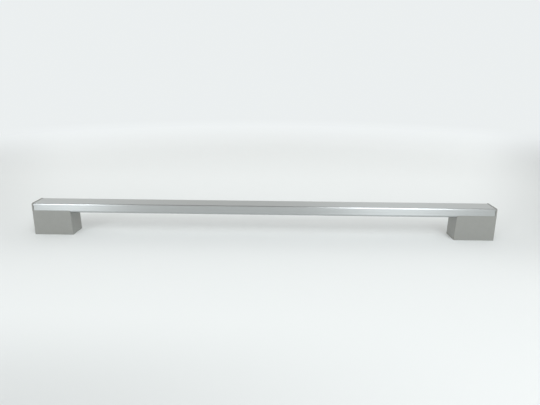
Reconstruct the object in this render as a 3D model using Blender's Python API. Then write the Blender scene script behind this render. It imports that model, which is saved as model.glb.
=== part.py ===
"""Refrigerator door handle: an aluminium bar carried by two moulded feet.

The handle stands as it does on a door, with the door's face at z = 0. X runs along the bar, Y across it
and Z away from the door. All sizes are in metres.

Each end is built once, in its own frame: the origin is on the door's face at the middle of the foot, and
+X points outwards. The left end is the right one turned half a turn about Z, as both feet are one moulding.
"""

import math

import bmesh
import bpy
from mathutils import Matrix, Vector

# Handle
HANDLE_LENGTH = 0.5000
GRIP_CLEARANCE = 0.0253

# Bar: an extrusion with a rectangular bore
BAR_DEPTH = 0.0224
BAR_HEIGHT = 0.0103
BAR_WALL = 0.0016
BAR_TOP_RADIUS = 0.0016
BAR_LOW_RADIUS = 0.0024
BORE_LEAST_RADIUS = 0.0005

# Foot: a block under the bar, with a wall that rises past the bar's end. Towards the door its ends spread and
# its front and back draw in, by these angles, until it is as deep there as the bar
FOOT_LENGTH = 0.0415
FOOT_PROUD = 0.0003
FOOT_WALL = 0.0022
END_WALL = 0.0017
ROOF_THICKNESS = 0.0024
END_SPREAD = math.radians(0.95)
FRONT_DRAW = math.radians(0.48)
FOOT_EDGE_RADIUS = 0.0005
CORE_CORNER_RADIUS = 0.0010
RIB_THICKNESS = 0.0016
RIB_RECESS = 0.0008

# Prongs on the end wall, which plug into the bar's bore
PRONG_WIDTH = 0.0029
PRONG_LENGTH = 0.0160
PRONG_EDGE_RADIUS = 0.0006
PRONG_TIP_LENGTH = 0.0012
PRONG_TIP_SCALE = 0.78

# Bar screws, their washers and the plate in the bore that they pull on
SCREW_SPACING = 0.0230
SCREW_RADIUS = 0.0020
SCREW_HEAD_RADIUS = 0.0040
SCREW_HEAD_HEIGHT = 0.0028
SCREW_HEAD_CROWN = 0.0009
SCREW_TIP_CHAMFER = 0.0005
SCREW_PROTRUSION = 0.0004
CROSS_SPAN = 0.0044
CROSS_WIDTH = 0.0011
CROSS_DEPTH = 0.0018
CROSS_TAPER_LENGTH = 0.0012
CROSS_FLOOR_SCALE = 0.55
WASHER_RADIUS = 0.0045
WASHER_THICKNESS = 0.0008
SCREW_PAD_THICKNESS = 0.0030
COLLAR_WALL = 0.0012
COLLAR_DEPTH = 0.0050
PLATE_END_MARGIN = 0.0045
PLATE_THICKNESS = 0.0030
PLATE_CORNER_RADIUS = 0.0015

# Knurled insert that takes the door's screw, in the foot's middle boss
INSERT_RADIUS = 0.0035
INSERT_LENGTH = 0.0120
INSERT_BORE_RADIUS = 0.0021
INSERT_CHAMFER = 0.0004
INSERT_GROOVE_DEPTH = 0.0005
INSERT_GROOVE_LENGTH = 0.0020
INSERT_PILOT_LENGTH = 0.0012
INSERT_RECESS = 0.0003
KNURL_DEPTH = 0.0003
KNURL_TEETH = 18
BOSS_WALL = 0.0026
SCREW_TIP_RELIEF = 0.0040

# Clearances
FIT_GAP = 0.0003
LIP_GAP = 0.0001
THREAD_GAP = 0.00015
HOLE_CLEARANCE = 0.0003
DRIVER_CLEARANCE = 0.0004

# Roundness of curves, how far a tool or a rib runs past the face that it meets, and how close two points of
# a turned profile are when they are one
CORNER_STEPS = 8
ROUND_STEPS = 24
BEVEL_STEPS = 3
OVERRUN = 0.0010
MERGE_DISTANCE = 0.0000001

# Levels above the door's face
BAR_TOP = GRIP_CLEARANCE + BAR_HEIGHT
BORE_FLOOR = GRIP_CLEARANCE + BAR_WALL
BORE_CEILING = BAR_TOP - BAR_WALL
FOOT_TOP = BAR_TOP + FOOT_PROUD
LIP_TOP = GRIP_CLEARANCE + BAR_LOW_RADIUS
SEAT = GRIP_CLEARANCE - FIT_GAP
ROOF_UNDERSIDE = SEAT - ROOF_THICKNESS
PAD_UNDERSIDE = SEAT - SCREW_PAD_THICKNESS
WASHER_TOP = PAD_UNDERSIDE - FIT_GAP
HEAD_TOP = WASHER_TOP - WASHER_THICKNESS - FIT_GAP
PLATE_UNDERSIDE = BORE_FLOOR + FIT_GAP
PLATE_TOP = PLATE_UNDERSIDE + PLATE_THICKNESS
INSERT_TOP = INSERT_RECESS + INSERT_LENGTH

# Places along an end's own X, and across it
END_CENTRE = (HANDLE_LENGTH - FOOT_LENGTH) / 2
END_WALL_FACE = FOOT_LENGTH / 2 - END_WALL
BAR_LENGTH = HANDLE_LENGTH - 2 * (END_WALL + FIT_GAP)
BORE_HALF_WIDTH = BAR_DEPTH / 2 - BAR_WALL
PRONG_OUTSIDE = BORE_HALF_WIDTH - FIT_GAP
PRONG_INSIDE = PRONG_OUTSIDE - PRONG_WIDTH
PLATE_WIDTH = 2 * (PRONG_INSIDE - FIT_GAP)
PLATE_LENGTH = SCREW_SPACING + 2 * PLATE_END_MARGIN
SCREW_PLACES = {"inner": -SCREW_SPACING / 2, "outer": SCREW_SPACING / 2}
HEAD_POCKET_RADIUS = WASHER_RADIUS + DRIVER_CLEARANCE
BOSS_RADIUS = INSERT_RADIUS + FIT_GAP + BOSS_WALL


def clear_scene():
    for old in list(bpy.data.objects):
        bpy.data.objects.remove(old, do_unlink=True)


def make_material(name, colour, roughness, metallic):
    material = bpy.data.materials.new(name)
    material.use_nodes = True
    shader = material.node_tree.nodes["Principled BSDF"]
    shader.inputs["Base Color"].default_value = (*colour, 1.0)
    shader.inputs["Roughness"].default_value = roughness
    shader.inputs["Metallic"].default_value = metallic
    return material


def make_object(name, bm):
    """An object from a bmesh, with its faces pointing out."""
    bmesh.ops.recalc_face_normals(bm, faces=bm.faces)
    mesh = bpy.data.meshes.new(name)
    bm.to_mesh(mesh)
    bm.free()
    made = bpy.data.objects.new(name, mesh)
    bpy.context.scene.collection.objects.link(made)
    return made


def finish(made, material, smooth_below=math.radians(35)):
    """Gives an object its material, smooth curves and sharp corners."""
    made.data.materials.clear()
    made.data.materials.append(material)
    made.data.shade_smooth()
    made.data.set_sharp_from_angle(angle=smooth_below)
    return made


def carve(made, steps):
    """Cuts tools from an object or joins them to it, in order, then removes the tools."""
    for operation, tool in steps:
        modifier = made.modifiers.new(tool.name, "BOOLEAN")
        modifier.operation = operation
        modifier.solver = "EXACT"
        modifier.object = tool
    graph = bpy.context.evaluated_depsgraph_get()
    carved = bpy.data.meshes.new_from_object(made.evaluated_get(graph))
    made.modifiers.clear()
    made.data = carved
    for _, tool in steps:
        bpy.data.objects.remove(tool, do_unlink=True)
    return made


def rounded(corners):
    """A closed outline through corners (a, b, radius), each turned into an arc of its radius."""
    points = []
    for index, (a, b, radius) in enumerate(corners):
        corner = Vector((a, b))
        if radius == 0:
            points.append(corner)
            continue
        back = (Vector(corners[index - 1][:2]) - corner).normalized()
        onward = (Vector(corners[(index + 1) % len(corners)][:2]) - corner).normalized()
        half_angle = back.angle(onward) / 2
        centre = corner + (back + onward).normalized() * radius / math.sin(half_angle)
        reach = radius / math.tan(half_angle)
        first = (corner + back * reach - centre).normalized()
        last = (corner + onward * reach - centre).normalized()
        points += [
            centre + radius * first.slerp(last, step / CORNER_STEPS) for step in range(CORNER_STEPS + 1)
        ]
    return points


def circle(radius):
    turns = [2 * math.pi * step / ROUND_STEPS for step in range(ROUND_STEPS)]
    return [Vector((radius * math.cos(turn), radius * math.sin(turn))) for turn in turns]


def push(bm, face, distance, scale=1.0):
    """Extrudes a face along Z and scales its far side about its middle; returns the far face."""
    inside = any(len(edge.link_faces) > 1 for edge in face.edges)
    grown = bmesh.ops.extrude_face_region(bm, geom=[face])["geom"]
    if inside:
        bmesh.ops.delete(bm, geom=[face], context="FACES_ONLY")
    far = [part for part in grown if isinstance(part, bmesh.types.BMVert)]
    bmesh.ops.translate(bm, vec=(0, 0, distance), verts=far)
    middle = sum((vertex.co for vertex in far), Vector()) / len(far)
    bmesh.ops.scale(bm, vec=(scale, scale, 1.0), space=Matrix.Translation(-middle), verts=far)
    return next(part for part in grown if isinstance(part, bmesh.types.BMFace))


def prism(name, outline, start, end, along="Z", tip_length=0.0, tip_scale=1.0):
    """The outline extruded from start to end: an (x, y) outline along Z, or a (y, z) outline along X.

    A tip length adds a tapered stretch past the end, in the same direction.
    """
    bm = bmesh.new()
    face = bm.faces.new([bm.verts.new((a, b, start)) for a, b in outline])
    far = push(bm, face, end - start)
    if tip_length:
        push(bm, far, math.copysign(tip_length, end - start), tip_scale)
    if along == "X":
        bm.transform(Matrix(((0, 0, 1, 0), (1, 0, 0, 0), (0, 1, 0, 0), (0, 0, 0, 1))))
    return make_object(name, bm)


def cylinder(name, x, y, radius, bottom, top):
    outline = [point + Vector((x, y)) for point in circle(radius)]
    return prism(name, outline, bottom, top)


def turned(name, profile, closed=False):
    """A solid of revolution about Z from a profile of (radius, z); a closed profile makes a ring."""
    bm = bmesh.new()
    points = [bm.verts.new((radius, 0, z)) for radius, z in profile]
    edges = [bm.edges.new(pair) for pair in zip(points, points[1:])]
    if closed:
        edges.append(bm.edges.new((points[-1], points[0])))
    bmesh.ops.spin(
        bm, geom=points + edges, cent=(0, 0, 0), axis=(0, 0, 1), dvec=(0, 0, 0),
        angle=2 * math.pi, steps=ROUND_STEPS, use_merge=True,
    )
    bmesh.ops.remove_doubles(bm, verts=bm.verts, dist=MERGE_DISTANCE)
    return make_object(name, bm)


def bar_outline():
    """The bar's outer section, as (y, z)."""
    side = BAR_DEPTH / 2
    return rounded([
        (-side, GRIP_CLEARANCE, BAR_LOW_RADIUS),
        (side, GRIP_CLEARANCE, BAR_LOW_RADIUS),
        (side, BAR_TOP, BAR_TOP_RADIUS),
        (-side, BAR_TOP, BAR_TOP_RADIUS),
    ])


def bore_outline():
    """The bar's bore, one wall inside its outer section."""
    low = max(BAR_LOW_RADIUS - BAR_WALL, BORE_LEAST_RADIUS)
    high = max(BAR_TOP_RADIUS - BAR_WALL, BORE_LEAST_RADIUS)
    return rounded([
        (-BORE_HALF_WIDTH, BORE_FLOOR, low),
        (BORE_HALF_WIDTH, BORE_FLOOR, low),
        (BORE_HALF_WIDTH, BORE_CEILING, high),
        (-BORE_HALF_WIDTH, BORE_CEILING, high),
    ])


def build_bar():
    """The extrusion: its section drawn with the bore in it, run along X, then drilled for the bar screws."""
    bm = bmesh.new()
    sections = []
    for outline in (bar_outline(), bore_outline()):
        corners = [bm.verts.new((-BAR_LENGTH / 2, y, z)) for y, z in outline]
        sections += [bm.edges.new(pair) for pair in zip(corners, corners[1:] + corners[:1])]
    wall = bmesh.ops.bridge_loops(bm, edges=sections)["faces"]
    grown = bmesh.ops.extrude_face_region(bm, geom=wall, use_keep_orig=True)["geom"]
    far = [part for part in grown if isinstance(part, bmesh.types.BMVert)]
    bmesh.ops.translate(bm, vec=(BAR_LENGTH, 0, 0), verts=far)
    bar = make_object("bar", bm)
    steps = []
    for side in (-1, 1):
        for label, x in SCREW_PLACES.items():
            hole = cylinder(
                f"bar_hole_{side}_{label}", side * (END_CENTRE + x), 0, SCREW_RADIUS + HOLE_CLEARANCE,
                GRIP_CLEARANCE - OVERRUN, BORE_FLOOR + OVERRUN,
            )
            steps.append(("DIFFERENCE", hole))
    return carve(bar, steps)


def foot_half_length(z):
    return FOOT_LENGTH / 2 + math.tan(END_SPREAD) * (FOOT_TOP - z)


def foot_half_depth(z):
    return BAR_DEPTH / 2 + FOOT_PROUD - math.tan(FRONT_DRAW) * (FOOT_TOP - z)


def leaning_block(inset, bottom, top):
    """The foot's block between two levels, as a bmesh, its four leaning sides moved in by inset."""
    bm = bmesh.new()
    bmesh.ops.create_cube(bm, size=2.0)
    for vertex in bm.verts:
        z = top if vertex.co.z > 0 else bottom
        x = math.copysign(foot_half_length(z) - inset, vertex.co.x)
        y = math.copysign(foot_half_depth(z) - inset, vertex.co.y)
        vertex.co = (x, y, z)
    return bm


def bevel(bm, edges, radius, steps):
    bmesh.ops.bevel(
        bm, geom=edges, offset=radius, offset_type="OFFSET", segments=steps, profile=0.5, affect="EDGES"
    )


def upright_edges(bm):
    """The edges that rise more than they run."""
    rises = [(edge, edge.verts[0].co - edge.verts[1].co) for edge in bm.edges]
    return [edge for edge, rise in rises if abs(rise.z) > rise.xy.length]


def foot_body():
    """The foot's outer form before its saddle is cut: long top edges like the bar's, softer end edges."""
    bm = leaning_block(0, 0, FOOT_TOP)
    along_top = [
        edge for edge in bm.edges
        if all(vertex.co.z > 0 for vertex in edge.verts) and edge.verts[0].co.y * edge.verts[1].co.y > 0
    ]
    bevel(bm, along_top, BAR_TOP_RADIUS + FOOT_PROUD, CORNER_STEPS)
    bm.normal_update()
    round_ends = set()
    for face in bm.faces:
        if abs(face.normal.x) > math.cos(2 * END_SPREAD):
            round_ends.update(edge for edge in face.edges if max(v.co.z for v in edge.verts) > 0)
    bevel(bm, list(round_ends), FOOT_EDGE_RADIUS, BEVEL_STEPS)
    return make_object("foot", bm)


def saddle():
    """What is cut away for the bar: a cradle round its lower half, and all that is above the lips."""
    side = BAR_DEPTH / 2 + LIP_GAP
    wide = foot_half_depth(FOOT_TOP) + OVERRUN
    high = FOOT_TOP + OVERRUN
    corner = BAR_LOW_RADIUS + (FIT_GAP + LIP_GAP) / 2
    outline = rounded([
        (-side, SEAT, corner),
        (side, SEAT, corner),
        (side, LIP_TOP, 0),
        (wide, LIP_TOP, 0),
        (wide, high, 0),
        (-wide, high, 0),
        (-wide, LIP_TOP, 0),
        (-side, LIP_TOP, 0),
    ])
    return prism("saddle", outline, -foot_half_length(0) - OVERRUN, END_WALL_FACE, along="X")


def core():
    """The hollow that the mould's core leaves, open towards the door."""
    bm = leaning_block(FOOT_WALL, -OVERRUN, ROOF_UNDERSIDE)
    bevel(bm, upright_edges(bm), CORE_CORNER_RADIUS, BEVEL_STEPS)
    return make_object("core", bm)


def cross_rib(name, x, bottom):
    """A rib across the hollow, from the front wall to the back wall."""
    half = RIB_THICKNESS / 2
    reach = foot_half_depth(ROOF_UNDERSIDE) - FOOT_WALL + OVERRUN
    outline = [(x - half, -reach), (x + half, -reach), (x + half, reach), (x - half, reach)]
    return prism(name, outline, bottom, ROOF_UNDERSIDE + OVERRUN)


def long_rib(name, bottom):
    """A rib along the hollow, which ties the screw collars to the end walls and the boss."""
    half = RIB_THICKNESS / 2
    reach = foot_half_length(ROOF_UNDERSIDE) - FOOT_WALL + OVERRUN
    outline = [(-reach, -half), (reach, -half), (reach, half), (-reach, half)]
    return prism(name, outline, bottom, ROOF_UNDERSIDE + OVERRUN)


def prong(side):
    """A tapered prong on the end wall, against one side of the bar's bore."""
    inside = side * PRONG_INSIDE
    outside = side * PRONG_OUTSIDE
    low = BORE_FLOOR + FIT_GAP
    high = BORE_CEILING - FIT_GAP
    outline = rounded([
        (inside, low, PRONG_EDGE_RADIUS),
        (outside, low, PRONG_EDGE_RADIUS),
        (outside, high, PRONG_EDGE_RADIUS),
        (inside, high, PRONG_EDGE_RADIUS),
    ])
    return prism(
        f"prong_{side}", outline, END_WALL_FACE + OVERRUN, END_WALL_FACE - PRONG_LENGTH + PRONG_TIP_LENGTH,
        along="X", tip_length=PRONG_TIP_LENGTH, tip_scale=PRONG_TIP_SCALE,
    )


def build_foot_mesh():
    """The moulding: saddle and hollow cut, then ribs, boss, screw collars and prongs, then their holes."""
    foot = foot_body()
    steps = [("DIFFERENCE", saddle()), ("DIFFERENCE", core())]
    steps.append(("UNION", cross_rib("rib_middle", 0, RIB_RECESS)))
    steps.append(("UNION", cylinder("boss", 0, 0, BOSS_RADIUS, 0, ROOF_UNDERSIDE + OVERRUN)))
    collar_bottom = PAD_UNDERSIDE - COLLAR_DEPTH
    steps.append(("UNION", long_rib("rib_along", collar_bottom + RIB_RECESS)))
    for label, x in SCREW_PLACES.items():
        collar = cylinder(
            f"collar_{label}", x, 0, HEAD_POCKET_RADIUS + COLLAR_WALL, collar_bottom, ROOF_UNDERSIDE + OVERRUN
        )
        steps.append(("UNION", cross_rib(f"rib_{label}", x, collar_bottom + RIB_RECESS)))
        steps.append(("UNION", collar))
    for side in (-1, 1):
        steps.append(("UNION", prong(side)))
    for label, x in SCREW_PLACES.items():
        pocket = cylinder(
            f"pocket_{label}", x, 0, HEAD_POCKET_RADIUS, collar_bottom - OVERRUN, PAD_UNDERSIDE
        )
        hole = cylinder(
            f"hole_{label}", x, 0, SCREW_RADIUS + HOLE_CLEARANCE, PAD_UNDERSIDE - OVERRUN, SEAT + OVERRUN
        )
        steps += [("DIFFERENCE", pocket), ("DIFFERENCE", hole)]
    insert_seat = cylinder("insert_seat", 0, 0, INSERT_RADIUS + FIT_GAP, -OVERRUN, INSERT_TOP + FIT_GAP)
    relief = cylinder(
        "relief", 0, 0, INSERT_BORE_RADIUS + HOLE_CLEARANCE, INSERT_TOP, INSERT_TOP + SCREW_TIP_RELIEF
    )
    steps += [("DIFFERENCE", insert_seat), ("DIFFERENCE", relief)]
    return carve(foot, steps)


def build_nut_plate():
    """A steel plate between the prongs, with a tapped hole for each bar screw."""
    long = PLATE_LENGTH / 2
    wide = PLATE_WIDTH / 2
    outline = rounded([
        (-long, -wide, PLATE_CORNER_RADIUS),
        (long, -wide, PLATE_CORNER_RADIUS),
        (long, wide, PLATE_CORNER_RADIUS),
        (-long, wide, PLATE_CORNER_RADIUS),
    ])
    plate = prism("nut_plate", outline, PLATE_UNDERSIDE, PLATE_TOP)
    tapped = SCREW_RADIUS + THREAD_GAP
    holes = [
        cylinder(f"tapped_{label}", x, 0, tapped, PLATE_UNDERSIDE - OVERRUN, PLATE_TOP + OVERRUN)
        for label, x in SCREW_PLACES.items()
    ]
    return carve(plate, [("DIFFERENCE", hole) for hole in holes])


def build_bar_screw():
    """A pan head screw with a cross recess, head down; z = 0 is where its head bears."""
    shank_end = PLATE_TOP + SCREW_PROTRUSION - HEAD_TOP
    rim = SCREW_HEAD_RADIUS - SCREW_HEAD_CROWN
    crown = [
        (
            rim + SCREW_HEAD_CROWN * math.sin(turn),
            -SCREW_HEAD_HEIGHT + SCREW_HEAD_CROWN * (1 - math.cos(turn)),
        )
        for turn in (math.pi / 2 * step / BEVEL_STEPS for step in range(BEVEL_STEPS + 1))
    ]
    profile = [(0, -SCREW_HEAD_HEIGHT), *crown, (SCREW_HEAD_RADIUS, 0), (SCREW_RADIUS, 0)]
    profile += [(SCREW_RADIUS, shank_end - SCREW_TIP_CHAMFER), (SCREW_RADIUS - SCREW_TIP_CHAMFER, shank_end)]
    profile.append((0, shank_end))
    screw = turned("bar_screw", profile)
    long = CROSS_SPAN / 2
    wide = CROSS_WIDTH / 2
    quarter = [Vector((wide, long)), Vector((wide, wide)), Vector((long, wide))]
    cross_outline = []
    for turn in range(4):
        swing = Matrix.Rotation(math.pi / ROUND_STEPS - turn * math.pi / 2, 2)
        cross_outline += [swing @ point for point in quarter]
    taper_from = -SCREW_HEAD_HEIGHT + CROSS_DEPTH - CROSS_TAPER_LENGTH
    cross = prism(
        "cross", cross_outline, -SCREW_HEAD_HEIGHT - OVERRUN, taper_from,
        tip_length=CROSS_TAPER_LENGTH, tip_scale=CROSS_FLOOR_SCALE,
    )
    return carve(screw, [("DIFFERENCE", cross)])


def build_washer():
    """A flat washer under a bar screw's head; z = 0 is its upper face."""
    hole = SCREW_RADIUS + HOLE_CLEARANCE
    profile = [(hole, -WASHER_THICKNESS), (WASHER_RADIUS, -WASHER_THICKNESS), (WASHER_RADIUS, 0), (hole, 0)]
    return turned("bar_washer", profile, closed=True)


def build_insert():
    """A knurled bush with a groove between two knurled bands and a plain pilot at its upper end."""
    points = 2 * KNURL_TEETH

    def ring(radius, z, tooth=0.0):
        return [
            (
                (radius - tooth * (index % 2)) * math.cos(2 * math.pi * index / points),
                (radius - tooth * (index % 2)) * math.sin(2 * math.pi * index / points),
                z,
            )
            for index in range(points)
        ]

    root = INSERT_RADIUS - INSERT_GROOVE_DEPTH
    band = (INSERT_LENGTH - INSERT_GROOVE_LENGTH - INSERT_PILOT_LENGTH) / 2
    groove_low = band
    groove_high = band + INSERT_GROOVE_LENGTH
    rings = [
        ring(INSERT_BORE_RADIUS + INSERT_CHAMFER, 0),
        ring(INSERT_RADIUS - INSERT_CHAMFER, 0),
        ring(INSERT_RADIUS, INSERT_CHAMFER, KNURL_DEPTH),
        ring(INSERT_RADIUS, groove_low, KNURL_DEPTH),
        ring(root, groove_low + INSERT_CHAMFER),
        ring(root, groove_high - INSERT_CHAMFER),
        ring(INSERT_RADIUS, groove_high, KNURL_DEPTH),
        ring(INSERT_RADIUS, groove_high + band, KNURL_DEPTH),
        ring(root, groove_high + band + INSERT_CHAMFER),
        ring(root, INSERT_LENGTH),
        ring(INSERT_BORE_RADIUS, INSERT_LENGTH),
        ring(INSERT_BORE_RADIUS, INSERT_CHAMFER),
    ]
    bm = bmesh.new()
    rows = [[bm.verts.new(co) for co in row] for row in rings]
    for row, following in zip(rows, rows[1:] + rows[:1]):
        for index in range(points):
            onward = (index + 1) % points
            bm.faces.new((row[index], row[onward], following[onward], following[index]))
    return make_object("door_insert", bm)


def place(name, mesh, parent, location):
    """An object for a mesh that both ends share, hung on its end's empty."""
    made = bpy.data.objects.new(name, mesh)
    bpy.context.scene.collection.objects.link(made)
    made.parent = parent
    made.location = location
    return made


def take_mesh(made):
    """An object's mesh, with the object itself removed."""
    mesh = made.data
    bpy.data.objects.remove(made, do_unlink=True)
    return mesh


def build_end(name, turn, meshes):
    """One end of the handle: the foot, its insert, the nut plate and the bar screws with their washers."""
    end = bpy.data.objects.new(f"end_{name}", None)
    bpy.context.scene.collection.objects.link(end)
    end.location = Matrix.Rotation(turn, 3, "Z") @ Vector((END_CENTRE, 0, 0))
    end.rotation_euler = (0, 0, turn)
    place(f"foot_{name}", meshes["foot"], end, (0, 0, 0))
    place(f"door_insert_{name}", meshes["insert"], end, (0, 0, INSERT_RECESS))
    place(f"nut_plate_{name}", meshes["plate"], end, (0, 0, 0))
    for label, x in SCREW_PLACES.items():
        place(f"bar_screw_{name}_{label}", meshes["screw"], end, (x, 0, HEAD_TOP))
        place(f"bar_washer_{name}_{label}", meshes["washer"], end, (x, 0, WASHER_TOP))


def build_handle():
    clear_scene()
    aluminium = make_material("satin_aluminium", (0.60, 0.62, 0.62), 0.32, 1.0)
    moulding = make_material("grey_moulding", (0.34, 0.35, 0.33), 0.50, 0.0)
    steel = make_material("zinc_plated_steel", (0.62, 0.62, 0.60), 0.35, 1.0)
    brass = make_material("brass", (0.72, 0.55, 0.26), 0.30, 1.0)
    finish(build_bar(), aluminium)
    meshes = {
        "foot": take_mesh(finish(build_foot_mesh(), moulding)),
        "insert": take_mesh(finish(build_insert(), brass)),
        "plate": take_mesh(finish(build_nut_plate(), steel)),
        "screw": take_mesh(finish(build_bar_screw(), steel)),
        "washer": take_mesh(finish(build_washer(), steel)),
    }
    build_end("right", 0.0, meshes)
    build_end("left", math.pi, meshes)


build_handle()
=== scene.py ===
"""The looks of a refrigerator door handle: finishes, threads, a pale studio, soft lamps and the camera.

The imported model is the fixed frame: X runs along the bar, Y across it, away from the camera, and Z is up.
Sizes are in metres, apart from the camera's sensor and lens, which are in millimetres.
"""

import math

import bmesh
import bpy
from mathutils import Matrix, Vector


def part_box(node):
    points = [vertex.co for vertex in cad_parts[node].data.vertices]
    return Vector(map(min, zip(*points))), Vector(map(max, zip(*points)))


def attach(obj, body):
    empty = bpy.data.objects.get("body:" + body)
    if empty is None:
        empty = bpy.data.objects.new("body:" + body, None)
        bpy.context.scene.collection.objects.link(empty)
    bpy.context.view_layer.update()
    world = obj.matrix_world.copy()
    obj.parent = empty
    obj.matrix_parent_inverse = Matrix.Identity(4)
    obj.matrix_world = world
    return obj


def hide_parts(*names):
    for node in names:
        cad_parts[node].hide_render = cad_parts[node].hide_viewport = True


# Camera, fitted to the photograph's measured edges
IMAGE_WIDTH = 540
SENSOR_WIDTH = 36.0
CAMERA_PLACE = (0.02106, -0.46816, 0.17207)
CAMERA_PITCH = math.radians(16.135)
CAMERA_ROLL = math.radians(0.295)
CAMERA_YAW = math.radians(-1.497)
FOCAL_LENGTH_IN_PIXELS = 445.5

# Colours of the finishes. Each varies between its first two, and the aluminium's fine brushing adds a third.
ALUMINIUM_DULL = (0.488, 0.504, 0.503)
ALUMINIUM_BRIGHT = (0.530, 0.547, 0.546)
ALUMINIUM_BRUSHED = (0.458, 0.474, 0.475)
PLASTIC_DARK = (0.260, 0.263, 0.248)
PLASTIC_LIGHT = (0.273, 0.275, 0.260)
ZINC_DULL = (0.55, 0.57, 0.58)
ZINC_BRIGHT = (0.66, 0.67, 0.66)
BRASS_DULL = (0.68, 0.50, 0.21)
BRASS_BRIGHT = (0.76, 0.58, 0.27)

# The part of a noise's range that is used: what lies outside it is held at its ends
NOISE_RANGE = (0.3, 0.7)

# Sockets of a Mix node that blends colours, by number, because its other kinds use the same names
MIX_SHARE = 0
MIX_FIRST = 6
MIX_SECOND = 7
MIX_RESULT = 2

# Studio: a round floor that curves up into a wall. Near the handle the floor takes light and shadow; further
# out, what the camera and the reflections see of it is the backdrop's own colour.
FLOOR_RADIUS = 1.60
COVE_RADIUS = 0.70
STUDIO_SIDES = 96
COVE_STEPS = 16
STUDIO_MERGE_DISTANCE = 0.00001
FLOOR_COLOUR = (0.831, 0.850, 0.852)
BACKDROP_COLOUR = (0.835, 0.865, 0.870)
BACKDROP_FROM = 0.45
BACKDROP_FULL = 1.10

# Painted shade and painted light on the paper near the handle, as areas whose colour is made dimmer or
# brighter: how far out they hold and end, then for each the directions along which it fades in with their
# limits, and what its colour is multiplied by, below 1 for painted shade and above 1 for painted light
PAINTED_AREAS_HOLD = 0.70
PAINTED_AREAS_END = 1.30
PAINTED_SHADE_AND_LIGHT_AREAS = (
    ((((-1.0, 0.0), -0.20, 0.15), ((0.0, -1.0), 0.17, 0.29)), 0.80),
    ((((1.0, -0.45), 0.20, 0.42), ((0.0, 1.0), -0.14, 0.02), ((0.0, -1.0), -1.50, -0.50)), 0.73),
    ((((-1.0, -0.45), 0.20, 0.42), ((0.0, 1.0), -0.14, 0.02), ((0.0, -1.0), -1.50, -0.30)), 0.87),
    ((((0.0, 1.0), 0.02, 0.30),), 1.10),
)

# Soft light: a bright ring round the studio, dim above it on the camera's side and brighter on the far side.
# The fades are limits of a direction's upward part, and of its part away from the camera.
RING_LIGHT = (1.16, 1.16, 1.13)
HIGH_FRONT_LIGHT = (0.25, 0.25, 0.25)
HIGH_BACK_LIGHT = (0.53, 0.53, 0.52)
RING_FADE = (0.66, 0.76)
HIGH_FADE = (-0.10, 0.20)

# Lamps: name, side, elevation in degrees, width and height, and level
LAMP_DISTANCE = 1.6
LAMP_COLOUR = (0.955, 1.0, 1.03)
LAMPS = (
    ("lamp_left", -0.53, 26, (0.24, 0.60), 0.150),
    ("lamp_right", 0.335, 32, (0.42, 0.60), 0.235),
    ("lamp_right_high", 0.24, 54, (0.32, 0.40), 0.10),
    ("lamp_right_top", 0.40, 66, (0.34, 0.30), 0.032),
)

# Threads: the wall's radius, the pitch and the groove's depth, which is below zero in a bore. The stations
# give the groove's share of its depth at each part of a pitch. The wall's faces are those whose normal's Z
# part is below UPRIGHT_LIMIT and whose corners are within WALL_TOLERANCE of the radius.
SCREW_THREAD = (0.0020, 0.0007, 0.00043)
SCREW_STATIONS = ((0.0, 0.0), (0.125, 0.0), (0.4375, 1.0), (0.6875, 1.0))
INSERT_THREAD = (0.0021, 0.0008, -0.00040)
INSERT_STATIONS = ((0.0, 0.0), (0.25, 0.0), (0.5625, 1.0), (0.6875, 1.0))
PITCHES_BELOW_WALL = 2
UPRIGHT_LIMIT = 0.5
WALL_TOLERANCE = 0.00001
MERGE_DISTANCE = 0.000001
SHARP_ANGLE = math.radians(32)

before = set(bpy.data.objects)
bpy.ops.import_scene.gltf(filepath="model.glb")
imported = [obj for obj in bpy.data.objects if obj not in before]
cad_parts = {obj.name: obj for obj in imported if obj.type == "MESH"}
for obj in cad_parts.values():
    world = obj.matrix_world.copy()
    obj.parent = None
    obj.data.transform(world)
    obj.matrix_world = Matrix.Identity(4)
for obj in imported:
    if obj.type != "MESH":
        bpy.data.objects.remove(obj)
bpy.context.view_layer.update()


class Tree:
    """A node tree, and the few kinds of node that the looks are made of."""

    def __init__(self, tree):
        self.nodes = tree.nodes
        self.links = tree.links

    def add(self, kind, inputs=None, **settings):
        """A node with its settings, and its inputs set to a value or linked to a socket."""
        node = self.nodes.new(kind)
        for name, value in settings.items():
            setattr(node, name, value)
        for name, value in (inputs or {}).items():
            self.feed(node.inputs[name], value)
        return node

    def feed(self, socket, value):
        """Links a socket to the one given, or sets it to a value."""
        if isinstance(value, bpy.types.NodeSocket):
            self.links.new(value, socket)
        else:
            socket.default_value = value

    def combined(self, operation, first, second):
        """Two numbers put together by a Math node."""
        return self.add("ShaderNodeMath", {0: first, 1: second}, operation=operation).outputs["Value"]

    def ranged(self, value, low, high, source=NOISE_RANGE):
        """A value moved from its source range to low and high, held inside them."""
        inputs = {
            "Value": value, "From Min": source[0], "From Max": source[1], "To Min": low, "To Max": high,
        }
        return self.add("ShaderNodeMapRange", inputs).outputs["Result"]

    def eased(self, value, start, end):
        """0 to 1 as a value goes from start to end, with a slow start and a slow end."""
        inputs = {"Value": value, "From Min": start, "From Max": end}
        return self.add("ShaderNodeMapRange", inputs, interpolation_type="SMOOTHSTEP").outputs["Result"]

    def blend(self, share, first, second):
        """A colour between two colours."""
        mix = self.add("ShaderNodeMix", {MIX_SHARE: share}, data_type="RGBA")
        for socket, colour in ((MIX_FIRST, first), (MIX_SECOND, second)):
            value = colour if isinstance(colour, bpy.types.NodeSocket) else (*colour, 1.0)
            self.feed(mix.inputs[socket], value)
        return mix.outputs[MIX_RESULT]


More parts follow.
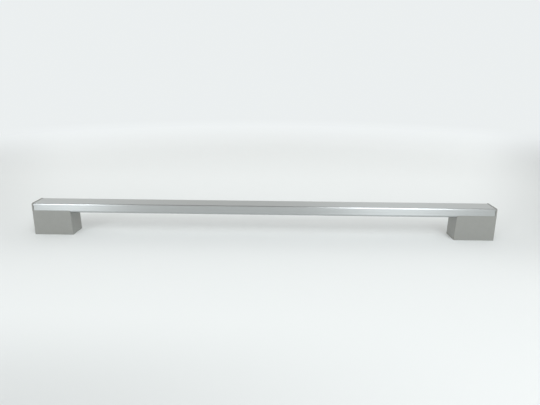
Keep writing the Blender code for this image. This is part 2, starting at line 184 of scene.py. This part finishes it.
class Shader(Tree):
    """A material's node tree around one Principled BSDF."""

    def __init__(self, name):
        self.material = bpy.data.materials.new(name)
        self.material.use_nodes = True
        super().__init__(self.material.node_tree)
        self.surface = self.nodes["Principled BSDF"]
        self.output = self.nodes["Material Output"]
        self.place = self.add("ShaderNodeTexCoord").outputs["Object"]

    def set(self, **inputs):
        """Sets the Principled BSDF's inputs, with underscores for the spaces in their names."""
        for name, value in inputs.items():
            self.feed(self.surface.inputs[name.replace("_", " ")], value)

    def noise(self, size, detail=2.0, roughness=0.5, stretch=(1.0, 1.0, 1.0)):
        """Noise whose features are about size metres across, times stretch along X, Y and Z; 0 to 1."""
        scale = tuple(1.0 / (size * factor) for factor in stretch)
        mapped = self.add("ShaderNodeMapping", {"Vector": self.place, "Scale": scale})
        inputs = {"Vector": mapped.outputs["Vector"], "Scale": 1.0, "Detail": detail, "Roughness": roughness}
        return self.add("ShaderNodeTexNoise", inputs).outputs["Fac"]

    def bump(self, height, distance, strength):
        """A normal tilted by a height from 0 to 1, where 1 stands distance metres proud."""
        inputs = {"Height": height, "Distance": distance, "Strength": strength}
        return self.add("ShaderNodeBump", inputs).outputs["Normal"]


def aluminium():
    """Satin anodised aluminium, brushed along X: reflections spread across the brushing."""
    made = Shader("satin_aluminium")
    broad = made.noise(size=0.0011, detail=3.0, stretch=(320.0, 1.0, 1.0))
    fine = made.noise(size=0.00022, stretch=(1500.0, 1.0, 1.0))
    across = made.add("ShaderNodeTangent", direction_type="RADIAL", axis="X").outputs["Tangent"]
    colour = made.blend(made.ranged(broad, 0, 1), ALUMINIUM_DULL, ALUMINIUM_BRIGHT)
    made.set(
        Base_Color=made.blend(made.ranged(fine, 0, 0.5), colour, ALUMINIUM_BRUSHED),
        Metallic=1.0,
        Roughness=made.ranged(broad, low=0.32, high=0.35),
        Anisotropic=0.95,
        Tangent=across,
        Normal=made.bump(fine, distance=0.000012, strength=0.5),
    )
    return made.material


def grey_plastic():
    """Moulded grey plastic with a fine spark-eroded texture."""
    made = Shader("grey_plastic")
    grain = made.noise(size=0.00035, detail=3.0, roughness=0.6)
    mottle = made.noise(size=0.006)
    made.set(
        Base_Color=made.blend(made.ranged(mottle, 0, 1), PLASTIC_DARK, PLASTIC_LIGHT),
        Roughness=made.ranged(grain, low=0.32, high=0.44),
        Normal=made.bump(grain, distance=0.00004, strength=0.35),
    )
    return made.material


def zinc_plate():
    """Zinc-plated steel, bright with faint cloudy patches."""
    made = Shader("zinc_plate")
    cloud = made.noise(size=0.0025, detail=3.0)
    grain = made.noise(size=0.00025)
    made.set(
        Base_Color=made.blend(made.ranged(cloud, 0, 1), ZINC_DULL, ZINC_BRIGHT),
        Metallic=1.0,
        Roughness=made.ranged(cloud, low=0.26, high=0.40),
        Normal=made.bump(grain, distance=0.00001, strength=0.4),
    )
    return made.material


def brass():
    """Turned brass, with fine rings round its axis."""
    made = Shader("turned_brass")
    rings = made.noise(size=0.00030, stretch=(60.0, 60.0, 1.0))
    cloud = made.noise(size=0.003)
    made.set(
        Base_Color=made.blend(made.ranged(cloud, 0, 1), BRASS_DULL, BRASS_BRIGHT),
        Metallic=1.0,
        Roughness=made.ranged(rings, low=0.22, high=0.38),
        Normal=made.bump(rings, distance=0.00001, strength=0.4),
    )
    return made.material


def dress_frame():
    """Gives each CAD node its finish, as its mesh's only material."""
    bar = (aluminium(), "bar_aluminium")
    foot = (grey_plastic(), "foot_plastic")
    steel = (zinc_plate(), "fixing_steel")
    insert = (brass(), "insert_brass")
    # The first of these that a node's name starts with gives its finish
    finishes = {
        "bar_screw": steel, "bar_washer": steel, "nut_plate": steel,
        "bar": bar, "foot": foot, "door_insert": insert,
    }
    for name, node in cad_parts.items():
        material, slot = next(finish for start, finish in finishes.items() if name.startswith(start))
        node.data.materials.clear()
        node.data.materials.append(material)


def cut_thread(name, thread, stations):
    """A piece that stands for a CAD node, with a right-hand thread cut into its plain round wall.

    The wall is round the node's upright middle axis. The thread's lines climb with the angle round it. They
    start below the wall, so that they cover its foot all the way round, and are held between its two ends,
    where the groove runs out.
    """
    radius, pitch, depth = thread
    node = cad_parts[name]
    lowest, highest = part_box(name)
    middle = (Vector(lowest) + Vector(highest)) / 2
    bm = bmesh.new()
    bm.from_mesh(node.data)
    bmesh.ops.remove_doubles(bm, verts=bm.verts, dist=MERGE_DISTANCE)
    bm.normal_update()
    wall = [
        face for face in bm.faces
        if abs(face.normal.z) < UPRIGHT_LIMIT
        and all(abs((vert.co - middle).xy.length - radius) < WALL_TOLERANCE for vert in face.verts)
    ]
    rims = {vert for face in wall for vert in face.verts}
    low = min(vert.co.z for vert in rims)
    high = max(vert.co.z for vert in rims)
    low_rim = [vert.co for vert in rims if vert.co.z < (low + high) / 2]
    angles = sorted(math.atan2(place.y - middle.y, place.x - middle.x) for place in low_rim)
    bmesh.ops.delete(bm, geom=wall, context="FACES")

    def point(column, row):
        """Where an upright line of the wall, its column, crosses a line of the thread, its row."""
        times_round, column = divmod(column, len(angles))
        row += times_round * len(stations)
        turns, station = divmod(row, len(stations))
        part, share = stations[station]
        climb = (angles[column] - angles[0]) / (2 * math.pi)
        z = min(max(low + (turns + part + climb) * pitch, low), high)
        reach = radius - depth * share * min((z - low) / pitch, (high - z) / pitch, 1.0)
        return middle.x + reach * math.cos(angles[column]), middle.y + reach * math.sin(angles[column]), z

    first_row = -PITCHES_BELOW_WALL * len(stations)
    rows = range(first_row, math.ceil((high - low) / pitch + 1) * len(stations))
    for column in range(len(angles)):
        for row in rows:
            corners = ((column, row), (column + 1, row), (column + 1, row + 1), (column, row + 1))
            bm.faces.new([bm.verts.new(point(*corner)) for corner in corners])
    bmesh.ops.remove_doubles(bm, verts=bm.verts, dist=MERGE_DISTANCE)
    bmesh.ops.recalc_face_normals(bm, faces=bm.faces)
    mesh = bpy.data.meshes.new(f"{name}_threaded")
    bm.to_mesh(mesh)
    bm.free()
    if mesh.has_custom_normals:
        mesh.attributes.remove(mesh.attributes["custom_normal"])
    mesh.shade_smooth()
    mesh.set_sharp_from_angle(angle=SHARP_ANGLE)
    mesh.materials.clear()
    mesh.materials.append(node.data.materials[0])
    piece = bpy.data.objects.new(f"{name}_threaded", mesh)
    bpy.context.scene.collection.objects.link(piece)
    return piece


def add_threads():
    """Puts a threaded piece in the place of each bar screw and each insert."""
    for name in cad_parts:
        if name.startswith("bar_screw"):
            piece = cut_thread(name, SCREW_THREAD, SCREW_STATIONS)
        elif name.startswith("door_insert"):
            piece = cut_thread(name, INSERT_THREAD, INSERT_STATIONS)
        else:
            continue
        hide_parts(name)
        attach(piece, "root")


def studio_material():
    """White paper that turns into a bright backdrop away from the handle, with painted shade and painted
    light in areas near it.
    """
    made = Shader("studio_white")
    made.nodes.remove(made.surface)
    distance = made.add("ShaderNodeVectorMath", {0: made.place}, operation="LENGTH").outputs["Value"]

    def along(direction):
        """How far along a level direction a point lies, times the direction's length."""
        vectors = {0: made.place, 1: (*direction, 0.0)}
        return made.add("ShaderNodeVectorMath", vectors, operation="DOT_PRODUCT").outputs["Value"]

    near = made.ranged(distance, 1.0, 0.0, source=(PAINTED_AREAS_HOLD, PAINTED_AREAS_END))
    level = 1.0
    # Each area's painted shade or painted light multiplies the level, which dims or brightens the paper's
    # and the backdrop's colour
    for fades, factor in PAINTED_SHADE_AND_LIGHT_AREAS:
        share = near
        for direction, start, end in fades:
            share = made.combined("MULTIPLY", share, made.eased(along(direction), start, end))
        level = made.combined("MULTIPLY", level, made.ranged(share, 1.0, factor, source=(0.0, 1.0)))

    def with_painted_shade_and_light(colour):
        """A colour multiplied by the level of painted shade and painted light that the areas leave."""
        inputs = {0: colour, "Scale": level}
        return made.add("ShaderNodeVectorMath", inputs, operation="SCALE").outputs["Vector"]

    # The paper and the backdrop both carry the painted shade and painted light
    paper = made.add("ShaderNodeBsdfDiffuse", {"Color": with_painted_shade_and_light(FLOOR_COLOUR)})
    backdrop = made.add("ShaderNodeEmission", {"Color": with_painted_shade_and_light(BACKDROP_COLOUR), "Strength": 1.0})
    rays = made.add("ShaderNodeLightPath").outputs
    seen = made.combined("MAXIMUM", rays["Is Camera Ray"], rays["Is Glossy Ray"])
    seen = made.combined("MAXIMUM", seen, rays["Is Transmission Ray"])
    mixed = made.add("ShaderNodeMixShader", {
        "Fac": made.combined("MULTIPLY", made.eased(distance, BACKDROP_FROM, BACKDROP_FULL), seen),
        1: paper.outputs["BSDF"],
        2: backdrop.outputs["Emission"],
    })
    made.links.new(mixed.outputs["Shader"], made.output.inputs["Surface"])
    return made.material


def build_studio():
    """The floor and the wall round it, as one turned surface."""
    profile = [(0.0, 0.0), (FLOOR_RADIUS, 0.0)]
    for step in range(1, COVE_STEPS + 1):
        turn = math.pi / 2 * step / COVE_STEPS
        profile.append((FLOOR_RADIUS + COVE_RADIUS * math.sin(turn), COVE_RADIUS * (1 - math.cos(turn))))
    bm = bmesh.new()
    points = [bm.verts.new((radius, 0, z)) for radius, z in profile]
    edges = [bm.edges.new(pair) for pair in zip(points, points[1:])]
    bmesh.ops.spin(
        bm, geom=points + edges, cent=(0, 0, 0), axis=(0, 0, 1), dvec=(0, 0, 0),
        angle=2 * math.pi, steps=STUDIO_SIDES, use_merge=True,
    )
    bmesh.ops.remove_doubles(bm, verts=bm.verts, dist=STUDIO_MERGE_DISTANCE)
    bmesh.ops.recalc_face_normals(bm, faces=bm.faces)
    mesh = bpy.data.meshes.new("studio")
    bm.to_mesh(mesh)
    bm.free()
    mesh.materials.append(studio_material())
    mesh.shade_smooth()
    studio = bpy.data.objects.new("studio", mesh)
    bpy.context.scene.collection.objects.link(studio)


def soft_lamp(name, side, elevation, size, level):
    """A lamp that faces the handle from LAMP_DISTANCE.

    Side is the X part of its direction and elevation its angle about X, up from the camera's side. Level is
    the light that it gives a surface facing it, where 1 is white.
    """
    light = bpy.data.lights.new(name, "AREA")
    light.shape = "RECTANGLE"
    light.size, light.size_y = size
    light.energy = level * (math.pi * LAMP_DISTANCE) ** 2
    light.color = LAMP_COLOUR
    lamp = bpy.data.objects.new(name, light)
    bpy.context.scene.collection.objects.link(lamp)
    reach = math.sqrt(1 - side**2)
    towards = Vector((side, -reach * math.cos(elevation), reach * math.sin(elevation)))
    across = Vector((1, 0, 0)) - towards * side
    across.normalize()
    turn = Matrix((across, towards.cross(across), towards)).transposed().to_4x4()
    lamp.matrix_world = Matrix.Translation(towards * LAMP_DISTANCE) @ turn


def build_lamps():
    """The soft lamps, all facing the handle."""
    for name, side, elevation, size, level in LAMPS:
        soft_lamp(name, side, math.radians(elevation), size, level)


def build_world():
    """The ring of light and what is above it, by direction."""
    world = bpy.data.worlds.new("studio_light")
    bpy.context.scene.world = world
    world.use_nodes = True
    made = Tree(world.node_tree)
    towards = made.add("ShaderNodeTexCoord").outputs["Generated"]
    part = made.add("ShaderNodeSeparateXYZ", {"Vector": towards}).outputs
    high = made.blend(made.eased(part["Y"], *HIGH_FADE), HIGH_FRONT_LIGHT, HIGH_BACK_LIGHT)
    light = made.blend(made.eased(part["Z"], *RING_FADE), RING_LIGHT, high)
    made.feed(made.nodes["Background"].inputs["Color"], light)


def build_camera():
    """The photograph's camera: yaw and pitch turn it, then roll turns it about its own axis."""
    forward = Vector((
        math.sin(CAMERA_YAW) * math.cos(CAMERA_PITCH),
        math.cos(CAMERA_YAW) * math.cos(CAMERA_PITCH),
        -math.sin(CAMERA_PITCH),
    ))
    level_right = Vector((math.cos(CAMERA_YAW), -math.sin(CAMERA_YAW), 0.0))
    level_up = level_right.cross(forward)
    right = level_right * math.cos(CAMERA_ROLL) + level_up * math.sin(CAMERA_ROLL)
    up = right.cross(forward)
    turn = Matrix((right, up, -forward)).transposed().to_4x4()
    data = bpy.data.cameras.new("camera")
    data.sensor_fit = "HORIZONTAL"
    data.sensor_width = SENSOR_WIDTH
    data.lens = FOCAL_LENGTH_IN_PIXELS / IMAGE_WIDTH * SENSOR_WIDTH
    camera = bpy.data.objects.new("camera", data)
    bpy.context.scene.collection.objects.link(camera)
    camera.matrix_world = Matrix.Translation(CAMERA_PLACE) @ turn
    bpy.context.scene.camera = camera


dress_frame()
add_threads()
build_studio()
build_lamps()
build_world()
build_camera()
bpy.context.scene.view_settings.view_transform = "Standard"
